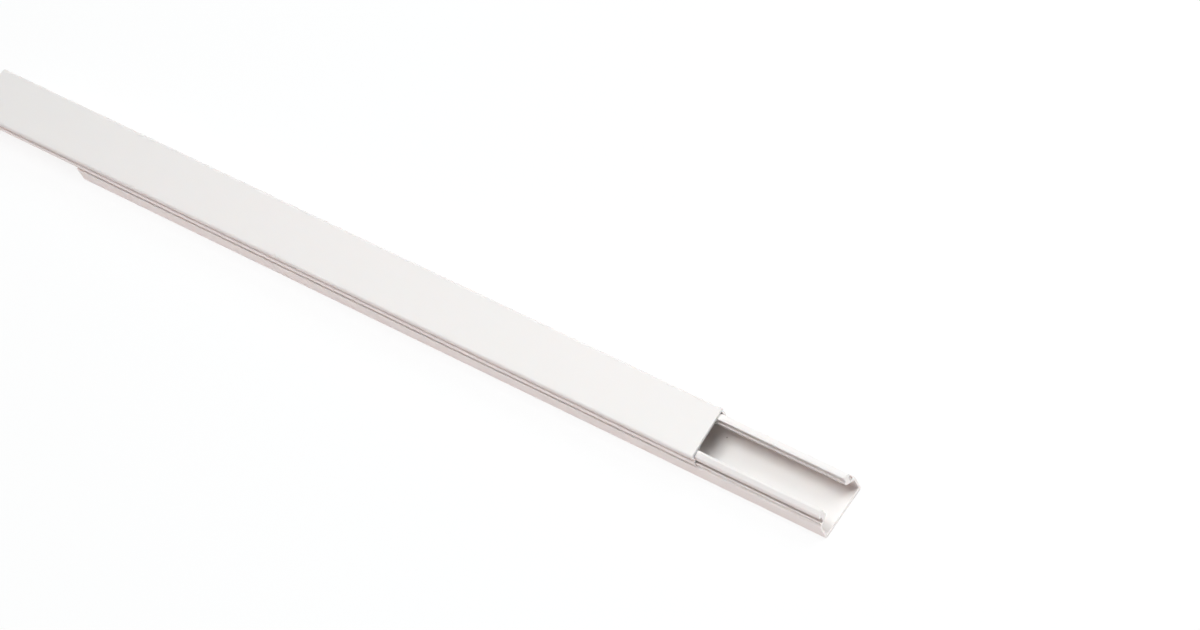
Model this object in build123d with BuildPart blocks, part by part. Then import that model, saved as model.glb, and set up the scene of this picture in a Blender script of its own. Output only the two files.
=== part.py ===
from build123d import *
import os

# Cord cover raceway: a channel that sticks to the wall by its back, and a cover that clips over its two lips.
# The stick runs along X, its back faces down, and the origin is the middle of the liner's face.
# Sizes are millimetres. An inset is counted from the outer face of a channel wall, inwards.

# Stick
stick_length = 400.0
exposed_length = 61.0

# Base channel section: each wall ends in a notched ledge with a thin fin behind it. Behind the fin is a slot
# for the cover's hook, and over the slot hangs the barbed lip, whose toe reaches into the channel.
channel_width = 25.0
floor_thickness = 1.2
wall_thickness = 0.9
wall_height = 8.5
notch_width = 0.36
notch_depth = 0.25
fin_inset = 1.02
fin_thickness = 0.2
fin_height = 2.3
fin_lean = 0.18
slot_height = 1.4
slot_depth = 1.7
lip_width = 3.55
lip_height = 2.3
lip_fall = 0.75
lip_lead = 0.48
ridge_width = 1.2
barb_edge = 0.2
lip_overhang = 1.3
bend_drop = 1.3
toe_drop = 4.1
toe_height = 1.2
toe_slope = 0.17
toe_reach = 0.5
waist_depth = 0.3

# Cover section: a leg hangs from each edge of the top. A groove runs along its outer face, between the rounded
# edge and the foot, its inner face has the hook, and a low rib runs beside it under the top.
cover_thickness = 1.2
cover_inset = 0.2
leg_thickness = 1.05
leg_lean = 0.3
edge_height = 1.4
groove_width = 2.05
groove_depth = 0.75
groove_slope = 0.45
hook_reach = 0.7
hook_slope = 0.2
rib_thickness = 0.7
rib_depth = 0.5

# Clearances between the cover and the channel
side_clearance = 0.25
top_clearance = 0.3
hook_clearance = 0.25
fin_clearance = 0.25
ledge_gap = 1.2
rib_clearance = 0.4

# Tape and liner on the back
tape_thickness = 0.2
liner_thickness = 0.1
tape_margin = 0.6

# Corner radii
back_radius = 0.25
ledge_radius = 0.05
fin_radius = 0.08
slot_radius = 0.3
barb_radius = 0.1
lip_radius = 0.45
toe_radius = 0.3
inner_radius = 0.5
cover_radius = 1.2
groove_radius = 0.25
foot_radius = 0.15
hook_radius = 0.1
corner_radius = 0.3
rib_radius = 0.2

# Heights above the floor that the stick lies on
back_z = liner_thickness + tape_thickness
channel_floor_z = back_z + floor_thickness
ledge_z = back_z + wall_height
notch_z = ledge_z - notch_depth
fin_z = ledge_z + fin_height
slot_z = fin_z - slot_depth
barb_z = fin_z + slot_height
barb_edge_z = barb_z + barb_edge
lip_z = barb_z + lip_height
lip_outer_z = lip_z - lip_fall
toe_z = lip_z - toe_drop
toe_top_z = toe_z + toe_height
waist_z = toe_top_z + toe_slope
bend_z = ledge_z - bend_drop
under_cover_z = lip_z + top_clearance
cover_z = under_cover_z + cover_thickness
foot_z = ledge_z + ledge_gap
groove_top_z = cover_z - edge_height
groove_high_z = groove_top_z - groove_slope
groove_foot_z = groove_top_z - groove_width
groove_low_z = groove_foot_z + groove_slope
hook_z = barb_z - hook_clearance
hook_tip_top_z = hook_z - hook_slope
hook_under_z = fin_z + fin_clearance
rib_z = under_cover_z - rib_depth

# Insets of the channel's and the cover's faces
leg_inset = cover_inset + leg_thickness
leg_top_inset = leg_inset + leg_lean
fin_inner_inset = fin_inset + fin_thickness
fin_foot_inset = fin_inner_inset + fin_lean
lip_inset = leg_inset + side_clearance
neck_inset = lip_inset + lip_overhang
lead_inset = lip_inset + lip_lead
lip_inner_inset = lip_inset + lip_width
ridge_inset = lip_inner_inset - ridge_width
waist_inset = lip_inner_inset - waist_depth
toe_inset = lip_inner_inset + toe_reach
groove_inset = cover_inset + groove_depth
heel_inset = fin_inset - fin_clearance
hook_inset = leg_inset + hook_reach
rib_inset = lip_inner_inset + rib_clearance
rib_inner_inset = rib_inset + rib_thickness

half_width = channel_width / 2
tape_width = channel_width - 2 * tape_margin
cover_shift = -exposed_length


def corner(inset, height):
    """A corner of the section on the +Y side, from its inset and its height."""
    return (half_width - inset, height)


# Base channel: half of its section from the middle of the back round to the middle of the channel's floor
base_half = [
    (0, back_z),
    corner(0, back_z),
    corner(0, ledge_z),
    corner(notch_width / 2, notch_z),
    corner(notch_width, ledge_z),
    corner(fin_inset, ledge_z),
    corner(fin_inset, fin_z),
    corner(fin_inner_inset, fin_z),
    corner(fin_foot_inset, slot_z),
    corner(neck_inset, slot_z),
    corner(neck_inset, barb_z),
    corner(lip_inset, barb_z),
    corner(lip_inset, barb_edge_z),
    corner(lead_inset, lip_outer_z),
    corner(ridge_inset, lip_z),
    corner(lip_inner_inset, lip_z),
    corner(waist_inset, waist_z),
    corner(toe_inset, toe_top_z),
    corner(toe_inset, toe_z),
    corner(wall_thickness, bend_z),
    corner(wall_thickness, channel_floor_z),
    (0, channel_floor_z),
]
base_radii = [
    back_radius,
    ledge_radius,
    ledge_radius,
    ledge_radius,
    fin_radius,
    fin_radius,
    fin_radius,
    slot_radius,
    slot_radius,
    slot_radius,
    barb_radius,
    barb_radius,
    lip_radius,
    lip_radius,
    lip_radius,
    inner_radius,
    toe_radius,
    toe_radius,
    inner_radius,
    inner_radius,
]

with BuildPart() as base_channel:
    with BuildSketch(Plane.YZ.offset(-stick_length / 2)):
        with BuildLine():
            FilletPolyline(*base_half, radius=base_radii)
            mirror(about=Plane.YZ)
        make_face()
    extrude(amount=stick_length)

base_channel.part.label = "base_channel"

# Snap cover: half of its section from the middle of its top, down the leg and back along its underside
cover_half = [
    (0, cover_z),
    corner(cover_inset, cover_z),
    corner(cover_inset, groove_top_z),
    corner(groove_inset, groove_high_z),
    corner(groove_inset, groove_low_z),
    corner(cover_inset, groove_foot_z),
    corner(cover_inset, foot_z),
    corner(heel_inset, foot_z),
    corner(heel_inset, hook_under_z),
    corner(hook_inset, hook_under_z),
    corner(hook_inset, hook_tip_top_z),
    corner(leg_inset, hook_z),
    corner(leg_top_inset, under_cover_z),
    corner(rib_inset, under_cover_z),
    corner(rib_inset, rib_z),
    corner(rib_inner_inset, rib_z),
    corner(rib_inner_inset, under_cover_z),
    (0, under_cover_z),
]
cover_radii = [
    cover_radius,
    foot_radius,
    groove_radius,
    groove_radius,
    foot_radius,
    foot_radius,
    hook_radius,
    hook_radius,
    hook_radius,
    hook_radius,
    hook_radius,
    corner_radius,
    rib_radius,
    rib_radius,
    rib_radius,
    rib_radius,
]

with BuildPart() as snap_cover:
    with BuildSketch(Plane.YZ.offset(cover_shift - stick_length / 2)):
        with BuildLine():
            FilletPolyline(*cover_half, radius=cover_radii)
            mirror(about=Plane.YZ)
        make_face()
    extrude(amount=stick_length)

snap_cover.part.label = "snap_cover"

# Double-sided tape, on the back of the channel inside its edges
with BuildPart() as adhesive_tape:
    with BuildSketch(Plane.XY.offset(liner_thickness)):
        Rectangle(stick_length, tape_width)
    extrude(amount=tape_thickness)

adhesive_tape.part.label = "adhesive_tape"

# Release liner, over the tape
with BuildPart() as release_liner:
    with BuildSketch(Plane.XY):
        Rectangle(stick_length, tape_width)
    extrude(amount=liner_thickness)

release_liner.part.label = "release_liner"

os.makedirs("parts", exist_ok=True)
for piece in (base_channel, snap_cover, adhesive_tape, release_liner):
    export_step(piece.part, f"parts/{piece.part.label}.step")
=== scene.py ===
"""Cord cover raceway: a wall channel, the cover that clips over its lips, its taped back and a studio."""

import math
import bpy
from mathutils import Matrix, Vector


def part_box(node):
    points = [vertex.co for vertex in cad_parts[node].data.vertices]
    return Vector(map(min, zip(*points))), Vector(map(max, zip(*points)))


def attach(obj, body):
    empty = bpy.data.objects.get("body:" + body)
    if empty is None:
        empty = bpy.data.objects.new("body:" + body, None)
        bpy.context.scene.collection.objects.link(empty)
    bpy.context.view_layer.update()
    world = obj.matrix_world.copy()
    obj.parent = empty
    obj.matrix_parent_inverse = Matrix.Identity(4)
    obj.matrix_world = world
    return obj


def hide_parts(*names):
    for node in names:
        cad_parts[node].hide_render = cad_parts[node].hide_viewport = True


bl_info = {
    "name": "Cord Cover Raceway",
    "version": (1, 0, 0),
    "blender": (4, 5, 0),
    "location": "View3D > Sidebar > Raceway",
    "description": "Models a two-piece cord cover raceway with its tape and liner, and lights it",
    "category": "Object",
}

import bmesh
import bpy
from bpy.props import FloatProperty, FloatVectorProperty, IntProperty, PointerProperty
from bpy.types import NodeSocket, Operator, Panel, PropertyGroup
from mathutils import Matrix, Vector

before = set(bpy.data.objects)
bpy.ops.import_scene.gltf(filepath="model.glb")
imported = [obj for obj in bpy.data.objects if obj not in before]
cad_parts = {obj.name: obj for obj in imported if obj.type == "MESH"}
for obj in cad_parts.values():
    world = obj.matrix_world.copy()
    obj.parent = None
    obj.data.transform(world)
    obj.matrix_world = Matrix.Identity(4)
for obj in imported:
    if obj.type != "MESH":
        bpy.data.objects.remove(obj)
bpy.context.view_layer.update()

MM = 0.001
WHITE = (1.0, 1.0, 1.0, 1.0)

# Mirrored corners that are closer than this merge
MIRROR_MERGE = 0.0001 * MM
# Edges that turn by more than this are shaded sharp
SHARP_ANGLE = math.radians(30)
# A face that looks along the stick by more than this is a sawn end
CAP_FACING = 0.5

# Scales of the surface patterns along X, Y and Z, in cycles per metre
DRIFT_SCALE = (9.0, 30.0, 30.0)
DIE_LINE_SCALE = (5.0, 900.0, 900.0)
WAVE_SCALE = (40.0, 90.0, 90.0)
GRAIN_SCALE = (2500.0, 3500.0, 3500.0)
KERF_SCALE = (300.0, 500.0, 6000.0)
CLOUD_SCALE = (55.0, 130.0, 130.0)
FLECK_SCALE = (700.0, 900.0, 900.0)
WRINKLE_SCALE = (35.0, 160.0, 160.0)
FIBRE_SCALE = (500.0, 2500.0, 2500.0)

# Depths of the surface patterns
WAVE_DEPTH = 0.05 * MM
DIE_LINE_DEPTH = 0.006 * MM
GRAIN_DEPTH = 0.002 * MM
KERF_DEPTH = 0.05 * MM
WRINKLE_DEPTH = 0.15 * MM
FLECK_DEPTH = 0.008 * MM
FIBRE_DEPTH = 0.02 * MM

# Levels of a pattern between which it goes from one finish to the other
GLOSS_LEVELS = (0.3, 0.7)
DRIFT_LEVELS = (0.35, 0.65)
CLOUD_LEVELS = (0.35, 0.7)
FIBRE_LEVELS = (0.45, 0.75)

# How squarely a face looks along the stick where the sawn finish, with its painted light, starts and is full
SAWN_FACING = (0.8, 0.95)
# How squarely a face of the liner looks up or down where its cut edge ends and its film is full
FILM_FACING = (0.3, 0.7)

# Roughness of each finish, where it is glossiest and where it is dullest
SATIN_ROUGHNESS = (0.36, 0.46)
FILM_ROUGHNESS = (0.28, 0.42)
TAPE_ROUGHNESS = (0.75, 0.9)
SAWN_ROUGHNESS = 0.7

# How light bends and scatters in the plastics
PVC_IOR = 1.53
FILM_IOR = 1.5
SCATTER_WEIGHT = 0.15
SCATTER_RADIUS = (1.0, 0.75, 0.6)
SCATTER_SCALE = 0.3 * MM

# A small dark speck on the channel's floor, just past the cover's right end under the far lip's toe: its
# place, and the radii where it starts and stops fading
SPECK_PLACE = (138.35 * MM, 6.99 * MM, 1.5 * MM)
SPECK_FADE = (0.1 * MM, 0.45 * MM)


def length(name, description, millimetres):
    """A length property, given in millimetres and kept in metres."""
    return FloatProperty(name=name, description=description, default=millimetres * MM, min=0.0,
                         subtype="DISTANCE", unit="LENGTH", precision=6)


def angle(name, description, degrees):
    """An angle property, given in degrees and kept in radians."""
    return FloatProperty(name=name, description=description, default=math.radians(degrees),
                         subtype="ANGLE", unit="ROTATION")


def colour(name, description, red, green, blue):
    """A colour property in linear light."""
    return FloatVectorProperty(name=name, description=description, default=(red, green, blue), size=3,
                               min=0.0, max=1.0, subtype="COLOR")


def point(name, description, x, y, z):
    """A point property, given in millimetres and kept in metres."""
    return FloatVectorProperty(name=name, description=description, default=(x * MM, y * MM, z * MM), size=3,
                               subtype="XYZ", unit="LENGTH")


def bearing(name, description, x, y, z):
    """A direction property, of any length."""
    return FloatVectorProperty(name=name, description=description, default=(x, y, z), size=3,
                               subtype="DIRECTION")


def level(name, description, default):
    """A plain number that is zero or more."""
    return FloatProperty(name=name, description=description, default=default, min=0.0)


class RacewayChannelSizes(PropertyGroup):
    """Sizes of the channel's section. Insets count inwards from a wall's outer face, heights upwards."""

    wall: length("Wall", "Thickness of each outer wall", 0.9)
    floor: length("Floor", "Thickness of the channel's floor", 1.2)
    wall_height: length("Wall height", "From the back up to the ledge under the cover's foot", 8.5)
    notch_width: length("Notch width", "Width of the fine notch along the ledge's edge", 0.36)
    notch_depth: length("Notch depth", "Depth of that notch", 0.25)
    fin_inset: length("Fin inset", "From the wall's outer face to the fin behind the ledge", 1.02)
    fin: length("Fin", "Thickness of the fin's top", 0.2)
    fin_height: length("Fin height", "From the ledge up to the fin's top", 2.3)
    fin_lean: length("Fin lean", "How far the fin's inner face leans in below its top", 0.18)
    slot: length("Slot", "Height of the slot's mouth, which takes the cover's hook", 1.4)
    slot_depth: length("Slot depth", "From the fin's top down to the slot's floor", 1.7)
    lip_height: length("Lip height", "From the top of the slot to the lip's ridge", 2.3)
    lip_inset: length("Lip inset", "From the wall's outer face to the lip's outer face", 1.5)
    lip_width: length("Lip width", "Width of the lip that the cover clips over", 3.55)
    lip_fall: length("Lip fall", "How far the lip's top slopes down to its outer edge", 0.75)
    lip_lead: length("Lip lead", "How far the lip's outer face leans in towards its top", 0.48)
    ridge: length("Ridge", "Width of the flat strip along the lip's inner edge", 1.2)
    lip_overhang: length("Lip overhang", "How far the lip stands out over the slot", 1.3)
    barb_edge: length("Barb edge", "Upright edge at the lip's lower corner", 0.2)
    bend_drop: length("Bend drop", "From the ledge down to where the wall's inner face turns in", 1.3)
    toe_drop: length("Toe drop", "From the lip's inner edge down to the toe under it", 4.1)
    toe_height: length("Toe height", "Height of the toe's upright face", 1.2)
    toe_slope: length("Toe slope", "Height of the slope above the toe", 0.17)
    toe_reach: length("Toe reach", "How far the toe stands out past the lip's inner edge", 0.5)
    waist: length("Waist", "How far the lip's inner face is drawn in above the toe", 0.3)
    back_radius: length("Back radius", "Rounding along the edges of the back", 0.25)
    ledge_radius: length("Ledge radius", "Rounding along the ledge and its notch", 0.05)
    fin_radius: length("Fin radius", "Rounding along the fin's top and foot", 0.08)
    slot_radius: length("Slot radius", "Rounding in the corners of the slot", 0.3)
    barb_radius: length("Barb radius", "Rounding along the lip's lower edge", 0.1)
    lip_radius: length("Lip radius", "Rounding along the lip's top edges", 0.45)
    toe_radius: length("Toe radius", "Rounding along the toe", 0.3)
    inner_radius: length("Inner radius", "Rounding along the inner corners", 0.5)


class RacewayCoverSizes(PropertyGroup):
    """Sizes of the cover's section. Insets count inwards from the channel wall's outer face."""

    thickness: length("Thickness", "Thickness of the cover's top", 1.2)
    side_inset: length("Side inset", "From the channel wall's outer face to the cover's side", 0.2)
    leg: length("Leg", "From the cover's side to the inner face of its leg", 1.05)
    leg_lean: length("Leg lean", "How far the leg's inner face leans in towards the top", 0.3)
    edge_height: length("Edge height", "From the top down to the groove along the cover's side", 1.4)
    groove_width: length("Groove width", "Width of that groove's mouth", 2.05)
    groove_depth: length("Groove depth", "Depth of the groove", 0.75)
    groove_slope: length("Groove slope", "How far each flank of the groove slopes in", 0.45)
    heel_inset: length("Heel inset", "From the channel wall's outer face to the foot's inner face", 0.77)
    heel_height: length("Heel height", "From the foot up to the underside of the hook", 1.35)
    hook_reach: length("Hook reach", "How far the hook reaches in under the lip", 0.7)
    hook_tip: length("Hook tip", "Height of the hook's upright tip", 0.7)
    hook_slope: length("Hook slope", "How far the top of the hook slopes down to its tip", 0.2)
    rib_inset: length("Rib inset", "From the channel wall's outer face to the rib under the top", 5.45)
    rib: length("Rib", "Thickness of each rib under the top", 0.7)
    rib_depth: length("Rib depth", "How far each rib hangs down", 0.5)
    edge_radius: length("Edge radius", "Rounding along the cover's two top edges", 1.2)
    groove_radius: length("Groove radius", "Rounding in the corners of the groove", 0.25)
    foot_radius: length("Foot radius", "Rounding along the foot and the groove's edges", 0.15)
    hook_radius: length("Hook radius", "Rounding along the hook", 0.1)
    corner_radius: length("Corner radius", "Rounding in the corner under the top", 0.3)
    rib_radius: length("Rib radius", "Rounding along the ribs", 0.2)


class RacewayCuts(PropertyGroup):
    """How the sticks were sawn to length, and how finely their roundings are made."""

    deburr: length("Deburr", "Small bevel around each sawn end", 0.06)
    arc_steps: IntProperty(name="Arc steps", description="Flat strips in each rounding", default=6, min=1)
    channel_right_lean: angle("Channel right lean", "How far the channel's right cut leans back", 2.0)
    cover_right_skew: angle("Cover right skew", "How far the cover's right cut turns from square", 3.6)
    cover_left_skew: angle("Cover left skew", "How far the cover's left cut turns from square", -0.8)


class RacewayFinish(PropertyGroup):
    """Colours of the raceway's plastics and tape."""

    pvc: colour("PVC", "White of the extruded plastic", 0.885, 0.831, 0.812)
    pvc_drift: colour("PVC drift", "Slightly greyer white that the plastic drifts to", 0.872, 0.826, 0.806)
    # A sawn end's white is partly the rough cut's own paleness and partly painted light, lighter than the
    # plastic in place of light from the right
    sawn_pvc_painted_lighter: colour("Sawn PVC", "White of a sawn end", 0.94, 0.92, 0.91)
    # A small dark speck on the channel's floor, under the far lip's toe just past the cover's right end
    speck: colour("Speck", "Colour of a burnt speck in the plastic", 0.40, 0.36, 0.34)
    liner: colour("Liner", "Blue of the release liner", 0.003, 0.275, 0.59)
    liner_drift: colour("Liner drift", "Paler blue where the liner lifts off the tape", 0.006, 0.32, 0.66)
    liner_edge: colour("Liner edge", "Pale core that shows along the liner's cut edges", 0.72, 0.74, 0.76)
    tape: colour("Tape", "Off-white of the tape's edge", 0.80, 0.77, 0.70)
    tape_fibre: colour("Tape fibre", "Darker fibres in the tape", 0.70, 0.66, 0.58)


class RacewayStudio(PropertyGroup):
    """Camera, lamps and floor."""

    aim: point("Aim", "Point on the floor that the camera looks at", 55.383, 31.645, 0.0)
    azimuth: angle("Azimuth", "Direction that the camera stands in, 0 being the near side", 60.046)
    elevation: angle("Elevation", "Height of the camera above the horizon", 53.578)
    roll: angle("Roll", "How far the camera is turned about its own axis", -29.33)
    distance: length("Distance", "From the camera to the point that it looks at", 1846.07)
    lens: level("Lens", "Focal length in millimetres for the sensor below", 136.133)
    sensor: level("Sensor", "Width of the sensor in millimetres", 36.0)
    overhead_bearing: bearing("Overhead bearing", "Where the overhead lamp stands", 0.0, 0.0, 1.0)
    back_bearing: bearing("Back bearing", "Where the lamp behind stands", 0.5, 0.85, 1.0)
    front_bearing: bearing("Front bearing", "Where the fill lamp in front stands", 0.0, -1.0, 1.0)
    overhead_power: level("Overhead power", "Power of the lamp straight above, in watts", 17.3)
    back_power: level("Back power", "Power of the lamp above and behind, in watts", 11.8)
    front_power: level("Front power", "Power of the fill lamp above and in front, in watts", 1.2)
    key_colour: colour("Key colour", "Colour of the lamps above and behind", 0.935, 0.99, 1.0)
    fill_colour: colour("Fill colour", "Colour of the fill lamp in front", 1.0, 0.5, 0.42)
    lamp_size: length("Lamp size", "Width of each square lamp", 900.0)
    lamp_distance: length("Lamp distance", "From each lamp to the point that it is turned to", 1500.0)
    lamp_aim: point("Lamp aim", "Point that the lamps are turned to", 100.0, 0.0, 0.0)
    floor_bounce: colour("Floor bounce", "Colour of the floor as it lights the object", 0.9, 0.84, 0.83)
    floor_glow: colour("Floor glow", "Light of the lit floor on the object", 0.49, 0.445, 0.44)
    floor_shadow: level("Floor shadow", "Share of the pale floor that shows the object's shadow", 0.15)
    floor_half: length("Floor half", "Half the width of the floor", 4000.0)
    floor_drop: length("Floor drop", "How far the floor lies under the liner, to share no plane", 0.05)


def channel_corners(s):
    """Corners of half the channel's section, from mid back to mid floor, as (inset, height, radius)."""
    low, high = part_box("base_channel")
    back, middle = low.z, high.y
    ledge = back + s.wall_height
    fin = ledge + s.fin_height
    fin_inner = s.fin_inset + s.fin
    slot = fin - s.slot_depth
    barb = fin + s.slot
    lip = barb + s.lip_height
    neck = s.lip_inset + s.lip_overhang
    lip_inner = s.lip_inset + s.lip_width
    toe = lip - s.toe_drop
    toe_top = toe + s.toe_height
    toe_inset = lip_inner + s.toe_reach
    floor = back + s.floor
    return [
        (middle, back, 0.0),
        (0.0, back, s.back_radius),
        (0.0, ledge, s.ledge_radius),
        (s.notch_width / 2, ledge - s.notch_depth, s.ledge_radius),
        (s.notch_width, ledge, s.ledge_radius),
        (s.fin_inset, ledge, s.fin_radius),
        (s.fin_inset, fin, s.fin_radius),
        (fin_inner, fin, s.fin_radius),
        (fin_inner + s.fin_lean, slot, s.slot_radius),
        (neck, slot, s.slot_radius),
        (neck, barb, s.slot_radius),
        (s.lip_inset, barb, s.barb_radius),
        (s.lip_inset, barb + s.barb_edge, s.barb_radius),
        (s.lip_inset + s.lip_lead, lip - s.lip_fall, s.lip_radius),
        (lip_inner - s.ridge, lip, s.lip_radius),
        (lip_inner, lip, s.lip_radius),
        (lip_inner - s.waist, toe_top + s.toe_slope, s.inner_radius),
        (toe_inset, toe_top, s.toe_radius),
        (toe_inset, toe, s.toe_radius),
        (s.wall, ledge - s.bend_drop, s.inner_radius),
        (s.wall, floor, s.inner_radius),
        (middle, floor, 0.0),
    ]


def cover_corners(s):
    """Corners of half the cover's section, from mid top to mid underside, as (inset, height, radius)."""
    low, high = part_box("snap_cover")
    foot, top = low.z, high.z
    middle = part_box("base_channel")[1].y
    under = top - s.thickness
    leg = s.side_inset + s.leg
    groove_inset = s.side_inset + s.groove_depth
    groove_top = top - s.edge_height
    groove_foot = groove_top - s.groove_width
    hook = leg + s.hook_reach
    hook_low = foot + s.heel_height
    hook_high = hook_low + s.hook_tip
    rib_inner = s.rib_inset + s.rib
    return [
        (middle, top, 0.0),
        (s.side_inset, top, s.edge_radius),
        (s.side_inset, groove_top, s.foot_radius),
        (groove_inset, groove_top - s.groove_slope, s.groove_radius),
        (groove_inset, groove_foot + s.groove_slope, s.groove_radius),
        (s.side_inset, groove_foot, s.foot_radius),
        (s.side_inset, foot, s.foot_radius),
        (s.heel_inset, foot, s.hook_radius),
        (s.heel_inset, hook_low, s.hook_radius),
        (hook, hook_low, s.hook_radius),
        (hook, hook_high, s.hook_radius),
        (leg, hook_high + s.hook_slope, s.hook_radius),
        (leg + s.leg_lean, under, s.corner_radius),
        (s.rib_inset, under, s.rib_radius),
        (s.rib_inset, under - s.rib_depth, s.rib_radius),
        (rib_inner, under - s.rib_depth, s.rib_radius),
        (rib_inner, under, s.rib_radius),
        (middle, under, 0.0),
    ]


def round_corners(bm, ring, radii, steps):
    """Round each corner of a flat face, to its own radius."""
    places = [vert.co.copy() for vert in ring]
    for index, radius in enumerate(radii):
        if not radius:
            continue
        before = places[index - 1] - places[index]
        after = places[index + 1] - places[index]
        reach = radius / math.tan(before.angle(after) / 2)
        bmesh.ops.bevel(bm, geom=[ring[index]], offset=reach, offset_type="OFFSET", segments=steps,
                        profile=0.5, affect="VERTICES", material=-1, clamp_overlap=False)


def saw_end(bm, side, skew=0.0, lean=0.0):
    """Turn and lean a sawn end, which only takes length off. Side is 1 at the right end, -1 at the left."""
    turn = math.tan(skew)
    shear = Matrix.Identity(4)
    shear[0][1] = -turn
    shear[0][2] = -side * math.tan(lean)
    shear[0][3] = -side * abs(turn) * max(vert.co.y for vert in bm.verts)
    middle = sum(vert.co.x for vert in bm.verts) / len(bm.verts)
    end = [vert for vert in bm.verts if (vert.co.x - middle) * side > 0]
    bmesh.ops.transform(bm, matrix=shear, verts=end)


def extruded_stick(node, corners, cuts):
    """A stick along X, as long as its CAD node, with a rounded symmetric section and deburred ends."""
    low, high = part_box(node)
    half_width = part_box("base_channel")[1].y
    bm = bmesh.new()
    start = low.x + cuts.deburr
    ring = [bm.verts.new((start, half_width - inset, height)) for inset, height, radius in corners]
    bm.faces.new(ring)
    round_corners(bm, ring, [radius for inset, height, radius in corners], cuts.arc_steps)
    half = bm.verts[:] + bm.edges[:] + bm.faces[:]
    bmesh.ops.mirror(bm, geom=half, axis="Y", merge_dist=MIRROR_MERGE)
    bmesh.ops.remove_doubles(bm, verts=bm.verts, dist=MIRROR_MERGE)
    bmesh.ops.recalc_face_normals(bm, faces=bm.faces)
    pulled = bmesh.ops.extrude_face_region(bm, geom=bm.faces[:])["geom"]
    far = [item for item in pulled if isinstance(item, bmesh.types.BMVert)]
    bmesh.ops.translate(bm, vec=(high.x - low.x - 2 * cuts.deburr, 0, 0), verts=far)
    bmesh.ops.recalc_face_normals(bm, faces=bm.faces)
    bm.normal_update()
    caps = [face for face in bm.faces if abs(face.normal.x) > CAP_FACING]
    bmesh.ops.inset_region(bm, faces=caps, thickness=cuts.deburr, depth=cuts.deburr, use_boundary=True,
                           use_even_offset=True)
    return bm


def finished_piece(name, bm, material, body, node):
    """Make a shaded object of a bmesh, which stands for its CAD node and rides on that node's body."""
    mesh = bpy.data.meshes.new(name)
    bm.to_mesh(mesh)
    bm.free()
    mesh.shade_smooth()
    mesh.set_sharp_from_angle(angle=SHARP_ANGLE)
    mesh.materials.append(material)
    piece = bpy.data.objects.new(name, mesh)
    bpy.context.scene.collection.objects.link(piece)
    weighting = piece.modifiers.new("flat_faces_stay_flat", "WEIGHTED_NORMAL")
    weighting.keep_sharp = True
    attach(piece, body)
    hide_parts(node)


def shader_node(tree, kind, inputs=None, **settings):
    """Add a shader node; each input is either a socket to link from or a plain value."""
    made = tree.nodes.new(kind)
    for key, value in settings.items():
        setattr(made, key, value)
    for key, value in (inputs or {}).items():
        if isinstance(value, NodeSocket):
            tree.links.new(value, made.inputs[key])
        else:
            made.inputs[key].default_value = value
    return made


def blank_material(name):
    """A material with an empty node tree and its output."""
    material = bpy.data.materials.new(name)
    material.use_nodes = True
    material.node_tree.nodes.clear()
    output = shader_node(material.node_tree, "ShaderNodeOutputMaterial")
    return material, material.node_tree, output


def rgba(value):
    """A colour property as four numbers."""
    return (*value, 1.0)


def maths(tree, operation, *values):
    """One step of arithmetic on one or two values."""
    return shader_node(tree, "ShaderNodeMath", dict(enumerate(values)), operation=operation).outputs[0]


def facing(tree, normal, axis):
    """How squarely the surface looks along an axis, either way. Axis is 0 for X and 2 for Z."""
    share = shader_node(tree, "ShaderNodeSeparateXYZ", {0: normal}).outputs[axis]
    return maths(tree, "ABSOLUTE", share)


def stretched_noise(tree, place, scale, detail, roughness=0.5):
    """Noise with its own scale along each axis, in cycles per metre."""
    mapping = shader_node(tree, "ShaderNodeMapping", {"Vector": place, "Scale": scale})
    noise = shader_node(tree, "ShaderNodeTexNoise", {
        "Vector": mapping.outputs[0], "Scale": 1.0, "Detail": detail, "Roughness": roughness})
    return noise.outputs[0]


def in_range(tree, value, low, high, to_low=0.0, to_high=1.0):
    """Map a value from one range to another and clamp it."""
    return shader_node(tree, "ShaderNodeMapRange", {
        "Value": value, "From Min": low, "From Max": high, "To Min": to_low, "To Max": to_high}).outputs[0]


def mixed_colour(tree, factor, first, second):
    """One colour fading to another."""
    return shader_node(tree, "ShaderNodeMix", {0: factor, 6: first, 7: second}, data_type="RGBA").outputs[2]


def mixed_value(tree, factor, first, second):
    """One number fading to another."""
    return shader_node(tree, "ShaderNodeMix", {0: factor, 2: first, 3: second}, data_type="FLOAT").outputs[0]


def bumped(tree, height, distance, below=None):
    """A bump of a given depth in metres, on top of another bump where there is one."""
    inputs = {"Height": height, "Distance": distance, "Strength": 1.0}
    if below:
        inputs["Normal"] = below
    return shader_node(tree, "ShaderNodeBump", inputs).outputs[0]


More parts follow.
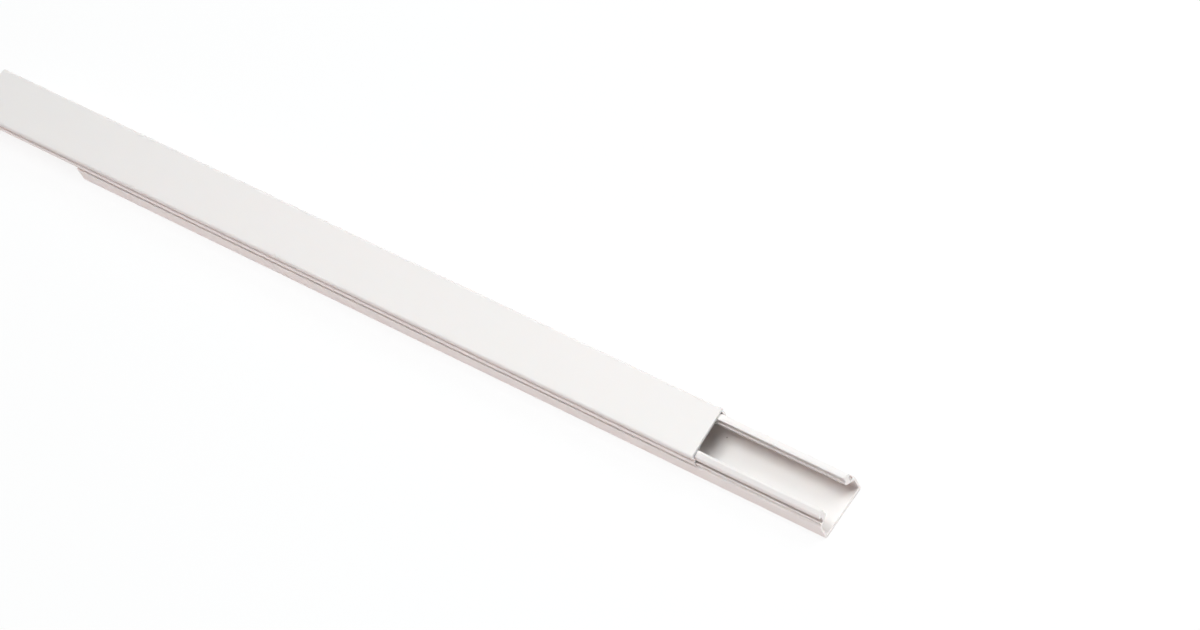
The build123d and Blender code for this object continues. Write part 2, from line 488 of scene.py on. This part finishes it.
def extruded_pvc(name, finish, speck=None):
    """Satin white plastic with die lines along the stick, a faint wave, and rough sawn ends whose lighter
    white is partly painted light.
    """
    material, tree, output = blank_material(name)
    coordinates = shader_node(tree, "ShaderNodeTexCoord").outputs
    place = coordinates["Object"]
    sawn = in_range(tree, facing(tree, coordinates["Normal"], 0), *SAWN_FACING)
    drift = stretched_noise(tree, place, DRIFT_SCALE, detail=2.0)
    die_lines = stretched_noise(tree, place, DIE_LINE_SCALE, detail=4.0, roughness=0.6)
    wave = stretched_noise(tree, place, WAVE_SCALE, detail=2.0)
    grain = stretched_noise(tree, place, GRAIN_SCALE, detail=2.0)
    kerf = stretched_noise(tree, place, KERF_SCALE, detail=4.0, roughness=0.7)
    drifted = in_range(tree, drift, *DRIFT_LEVELS)
    body = mixed_colour(tree, drifted, rgba(finish.pvc), rgba(finish.pvc_drift))
    # Sawn ends turn a lighter white, partly painted light in place of light from the right
    tint = mixed_colour(tree, sawn, body, rgba(finish.sawn_pvc_painted_lighter))
    # Darken a small soft speck on the channel's floor by the cover's right end
    if speck:
        apart = shader_node(tree, "ShaderNodeVectorMath", {0: place, 1: speck}, operation="DISTANCE")
        spot = in_range(tree, apart.outputs["Value"], *SPECK_FADE, 1.0, 0.0)
        tint = mixed_colour(tree, spot, tint, rgba(finish.speck))
    satin = in_range(tree, die_lines, *GLOSS_LEVELS, *SATIN_ROUGHNESS)
    gloss = mixed_value(tree, sawn, satin, SAWN_ROUGHNESS)
    waved = bumped(tree, wave, WAVE_DEPTH)
    lined = bumped(tree, die_lines, DIE_LINE_DEPTH, below=waved)
    grained = bumped(tree, grain, GRAIN_DEPTH, below=lined)
    finished = bumped(tree, maths(tree, "MULTIPLY", kerf, sawn), KERF_DEPTH, below=grained)
    shader = shader_node(tree, "ShaderNodeBsdfPrincipled", {
        "Base Color": tint, "Roughness": gloss, "Normal": finished, "IOR": PVC_IOR,
        "Subsurface Weight": SCATTER_WEIGHT, "Subsurface Radius": SCATTER_RADIUS,
        "Subsurface Scale": SCATTER_SCALE})
    tree.links.new(shader.outputs[0], output.inputs[0])
    return material


def release_film(name, finish):
    """Blue film with a pale cut edge and a soft gloss, wrinkled, and mottled where it lifts off the tape."""
    material, tree, output = blank_material(name)
    coordinates = shader_node(tree, "ShaderNodeTexCoord").outputs
    place = coordinates["Object"]
    edge = in_range(tree, facing(tree, coordinates["Normal"], 2), *FILM_FACING, 1.0, 0.0)
    clouds = stretched_noise(tree, place, CLOUD_SCALE, detail=4.0, roughness=0.6)
    flecks = stretched_noise(tree, place, FLECK_SCALE, detail=3.0)
    wrinkles = stretched_noise(tree, place, WRINKLE_SCALE, detail=5.0, roughness=0.55)
    lifted = in_range(tree, clouds, *CLOUD_LEVELS)
    film = mixed_colour(tree, lifted, rgba(finish.liner), rgba(finish.liner_drift))
    tint = mixed_colour(tree, edge, film, rgba(finish.liner_edge))
    gloss = in_range(tree, flecks, *GLOSS_LEVELS, *FILM_ROUGHNESS)
    rumpled = bumped(tree, wrinkles, WRINKLE_DEPTH)
    flecked = bumped(tree, flecks, FLECK_DEPTH, below=rumpled)
    shader = shader_node(tree, "ShaderNodeBsdfPrincipled", {
        "Base Color": tint, "Roughness": gloss, "Normal": flecked, "IOR": FILM_IOR})
    tree.links.new(shader.outputs[0], output.inputs[0])
    return material


def tape_tissue(name, finish):
    """Matt off-white tape with short fibres."""
    material, tree, output = blank_material(name)
    place = shader_node(tree, "ShaderNodeTexCoord").outputs["Object"]
    fibres = stretched_noise(tree, place, FIBRE_SCALE, detail=4.0, roughness=0.65)
    matted = in_range(tree, fibres, *FIBRE_LEVELS)
    tint = mixed_colour(tree, matted, rgba(finish.tape), rgba(finish.tape_fibre))
    gloss = in_range(tree, fibres, *GLOSS_LEVELS, *TAPE_ROUGHNESS)
    rough = bumped(tree, fibres, FIBRE_DEPTH)
    shader = shader_node(tree, "ShaderNodeBsdfPrincipled", {
        "Base Color": tint, "Roughness": gloss, "Normal": rough})
    tree.links.new(shader.outputs[0], output.inputs[0])
    return material


def seen_directly(tree):
    """1 for rays from the camera, a reflection or a clear body, and 0 for light that bounces."""
    path = shader_node(tree, "ShaderNodeLightPath").outputs
    mirrored = maths(tree, "MAXIMUM", path["Is Camera Ray"], path["Is Glossy Ray"])
    return maths(tree, "MAXIMUM", mirrored, path["Is Transmission Ray"])


def pale_floor(studio):
    """A lit white floor that keeps a soft shadow, throws its light back up and is clear from below."""
    material, tree, output = blank_material("pale_floor")
    bounce = shader_node(tree, "ShaderNodeBsdfDiffuse", {"Color": rgba(studio.floor_bounce)}).outputs[0]
    glow = shader_node(tree, "ShaderNodeEmission", {
        "Color": rgba(studio.floor_glow), "Strength": 1.0}).outputs[0]
    thrown = shader_node(tree, "ShaderNodeAddShader", {0: bounce, 1: glow}).outputs[0]
    shaded = shader_node(tree, "ShaderNodeBsdfDiffuse", {"Color": WHITE}).outputs[0]
    white = shader_node(tree, "ShaderNodeEmission", {"Color": WHITE, "Strength": 1.0}).outputs[0]
    look = shader_node(tree, "ShaderNodeMixShader", {0: studio.floor_shadow, 1: white, 2: shaded}).outputs[0]
    both = shader_node(tree, "ShaderNodeMixShader", {0: seen_directly(tree), 1: thrown, 2: look}).outputs[0]
    below = shader_node(tree, "ShaderNodeNewGeometry").outputs["Backfacing"]
    clear = shader_node(tree, "ShaderNodeBsdfTransparent").outputs[0]
    one_sided = shader_node(tree, "ShaderNodeMixShader", {0: below, 1: both, 2: clear}).outputs[0]
    tree.links.new(one_sided, output.inputs[0])
    return material


def pale_room():
    """A world that is white where it is seen or mirrored, and gives no other light."""
    world = bpy.data.worlds.new("pale_room")
    world.use_nodes = True
    tree = world.node_tree
    tree.nodes.clear()
    background = shader_node(tree, "ShaderNodeBackground", {"Color": WHITE, "Strength": seen_directly(tree)})
    output = shader_node(tree, "ShaderNodeOutputWorld")
    tree.links.new(background.outputs[0], output.inputs[0])
    return world


def soft_lamp(name, direction, power, tint, studio):
    """A square lamp that stands in a direction and is turned towards the raceway."""
    lamp = bpy.data.lights.new(name, "AREA")
    lamp.shape = "SQUARE"
    lamp.size = studio.lamp_size
    lamp.energy = power
    lamp.color = tint
    towards = Vector(direction).normalized()
    place = Matrix.Translation(Vector(studio.lamp_aim) + towards * studio.lamp_distance)
    stand = bpy.data.objects.new(name, lamp)
    stand.matrix_world = place @ towards.to_track_quat("Z", "Y").to_matrix().to_4x4()
    bpy.context.scene.collection.objects.link(stand)


def studio_camera(studio):
    """A camera at the viewing angle, rolled so that the stick slopes across the picture."""
    back = Vector((math.sin(studio.azimuth) * math.cos(studio.elevation),
                   -math.cos(studio.azimuth) * math.cos(studio.elevation),
                   math.sin(studio.elevation)))
    level_right = Vector((math.cos(studio.azimuth), math.sin(studio.azimuth), 0.0))
    right = Matrix.Rotation(studio.roll, 3, back) @ level_right
    up = back.cross(right)
    turned = Matrix((right, up, back)).transposed().to_4x4()
    lens = bpy.data.cameras.new("studio_camera")
    lens.sensor_fit = "HORIZONTAL"
    lens.sensor_width = studio.sensor
    lens.lens = studio.lens
    camera = bpy.data.objects.new("studio_camera", lens)
    camera.matrix_world = Matrix.Translation(Vector(studio.aim) + back * studio.distance) @ turned
    bpy.context.scene.collection.objects.link(camera)
    return camera


class RACEWAY_OT_channel(Operator):
    """Model the channel that sticks to the wall"""

    bl_idname = "raceway.channel"
    bl_label = "Channel"

    def execute(self, context):
        scene = context.scene
        cuts = scene.raceway_cuts
        bm = extruded_stick("base_channel", channel_corners(scene.raceway_channel), cuts)
        saw_end(bm, 1, lean=cuts.channel_right_lean)
        material = extruded_pvc("channel_pvc_satin", scene.raceway_finish, speck=SPECK_PLACE)
        finished_piece("channel_extrusion", bm, material, "base", "base_channel")
        return {"FINISHED"}


class RACEWAY_OT_cover(Operator):
    """Model the cover that clips over the channel's lips"""

    bl_idname = "raceway.cover"
    bl_label = "Cover"

    def execute(self, context):
        scene = context.scene
        cuts = scene.raceway_cuts
        bm = extruded_stick("snap_cover", cover_corners(scene.raceway_cover), cuts)
        saw_end(bm, 1, skew=cuts.cover_right_skew)
        saw_end(bm, -1, skew=cuts.cover_left_skew)
        material = extruded_pvc("cover_pvc_satin", scene.raceway_finish)
        finished_piece("cover_extrusion", bm, material, "cover", "snap_cover")
        return {"FINISHED"}


class RACEWAY_OT_taped_back(Operator):
    """Finish the tape and the liner on the channel's back"""

    bl_idname = "raceway.taped_back"
    bl_label = "Taped Back"

    def execute(self, context):
        finish = context.scene.raceway_finish
        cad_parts["adhesive_tape"].material_slots[0].material = tape_tissue("tape_tissue", finish)
        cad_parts["release_liner"].material_slots[0].material = release_film("release_film", finish)
        return {"FINISHED"}


class RACEWAY_OT_stage(Operator):
    """Set up the floor, the lamps and the camera"""

    bl_idname = "raceway.stage"
    bl_label = "Stage"

    def execute(self, context):
        scene = context.scene
        studio = scene.raceway_studio
        bm = bmesh.new()
        lowered = Matrix.Translation((0.0, 0.0, -studio.floor_drop))
        bmesh.ops.create_grid(bm, x_segments=1, y_segments=1, size=studio.floor_half, matrix=lowered)
        mesh = bpy.data.meshes.new("studio_floor")
        bm.to_mesh(mesh)
        bm.free()
        mesh.materials.append(pale_floor(studio))
        floor = bpy.data.objects.new("studio_floor", mesh)
        scene.collection.objects.link(floor)
        scene.world = pale_room()
        key, fill = studio.key_colour, studio.fill_colour
        soft_lamp("overhead_lamp", studio.overhead_bearing, studio.overhead_power, key, studio)
        soft_lamp("back_lamp", studio.back_bearing, studio.back_power, key, studio)
        soft_lamp("front_lamp", studio.front_bearing, studio.front_power, fill, studio)
        scene.camera = studio_camera(studio)
        scene.view_settings.view_transform = "Standard"
        return {"FINISHED"}


class RACEWAY_PT_sidebar(Panel):
    """Buttons that build the raceway"""

    bl_idname = "RACEWAY_PT_sidebar"
    bl_label = "Cord Cover Raceway"
    bl_space_type = "VIEW_3D"
    bl_region_type = "UI"
    bl_category = "Raceway"

    def draw(self, context):
        for operator in OPERATORS:
            self.layout.operator(operator.bl_idname)


PROPERTY_GROUPS = {
    "raceway_channel": RacewayChannelSizes,
    "raceway_cover": RacewayCoverSizes,
    "raceway_cuts": RacewayCuts,
    "raceway_finish": RacewayFinish,
    "raceway_studio": RacewayStudio,
}
OPERATORS = (RACEWAY_OT_channel, RACEWAY_OT_cover, RACEWAY_OT_taped_back, RACEWAY_OT_stage)


def register():
    """Register the classes and hang the property groups on the scene."""
    for name, group in PROPERTY_GROUPS.items():
        bpy.utils.register_class(group)
        setattr(bpy.types.Scene, name, PointerProperty(type=group))
    for cls in (*OPERATORS, RACEWAY_PT_sidebar):
        bpy.utils.register_class(cls)


def unregister():
    """Take the classes and the property groups off again."""
    for cls in reversed((*OPERATORS, RACEWAY_PT_sidebar)):
        bpy.utils.unregister_class(cls)
    for name, group in reversed(PROPERTY_GROUPS.items()):
        delattr(bpy.types.Scene, name)
        bpy.utils.unregister_class(group)


def main():
    register()
    bpy.ops.raceway.channel()
    bpy.ops.raceway.cover()
    bpy.ops.raceway.taped_back()
    bpy.ops.raceway.stage()


if __name__ == "__main__":
    main()
